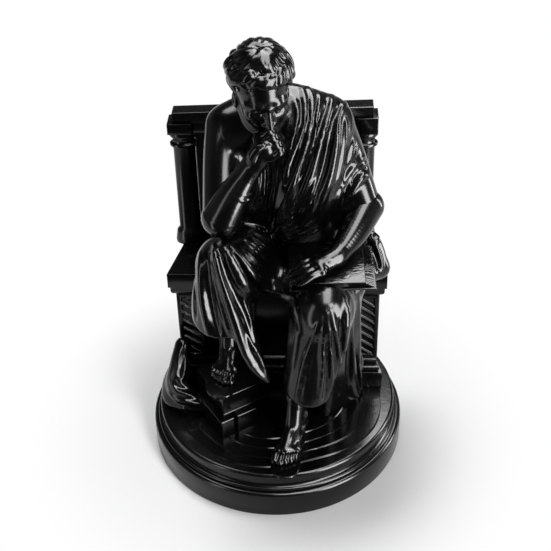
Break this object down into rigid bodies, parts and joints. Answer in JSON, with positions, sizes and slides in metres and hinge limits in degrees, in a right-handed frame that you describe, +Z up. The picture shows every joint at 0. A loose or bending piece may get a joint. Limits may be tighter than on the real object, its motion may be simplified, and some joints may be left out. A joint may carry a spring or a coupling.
{
  "type": "seated thinker statue",
  "caption": "Desk ornament: draped thinker on a throne, chin on hand, book on lap, foot on books, round stepped base.",
  "frame": {"origin": "centre of the round base's underside", "axes": "+Z up; the sitter looks along -Y; +X is the sitter's left, the viewer's right"},
  "size_m": [0.12, 0.12, 0.2095],
  "materials": {
    "black_print": "black silk-gloss print with fine level layer lines",
    "dowel": "plain black rod",
    "screw": "plain zinc-plated steel"
  },
  "bodies": {
    "root": {"plinth_disc": "black_print", "bead_ring": "black_print", "step_drum": "black_print", "throne_plinth": "black_print", "seat_block": "black_print", "right_post": "black_print", "left_post": "black_print", "seat_ledge": "black_print", "back_panel": "black_print", "right_column": "black_print", "left_column": "black_print", "right_capital": "black_print", "left_capital": "black_print", "lintel": "black_print", "crest_slab": "black_print", "lap_book_cover": "black_print", "lap_book_pages": "black_print", "upper_book_cover": "black_print", "upper_book_pages": "black_print", "right_lower_book": "black_print", "left_lower_book": "black_print", "left_foot": "black_print", "left_sole": "black_print", "right_foot": "black_print", "right_sole": "black_print", "head": "black_print", "right_forearm": "black_print", "left_forearm": "black_print", "right_upper_arm": "black_print", "left_upper_arm": "black_print", "torso_robe": "black_print", "shoulder_mantle": "black_print", "lap_robe": "black_print", "right_leg_robe": "black_print", "left_leg_robe": "black_print", "centre_swag": "black_print", "mantle_fall": "black_print", "ground_drape": "black_print", "ground_slab": "black_print", "dowel_pins": "dowel", "base_screws": "screw"}
  },
  "joints": []
}
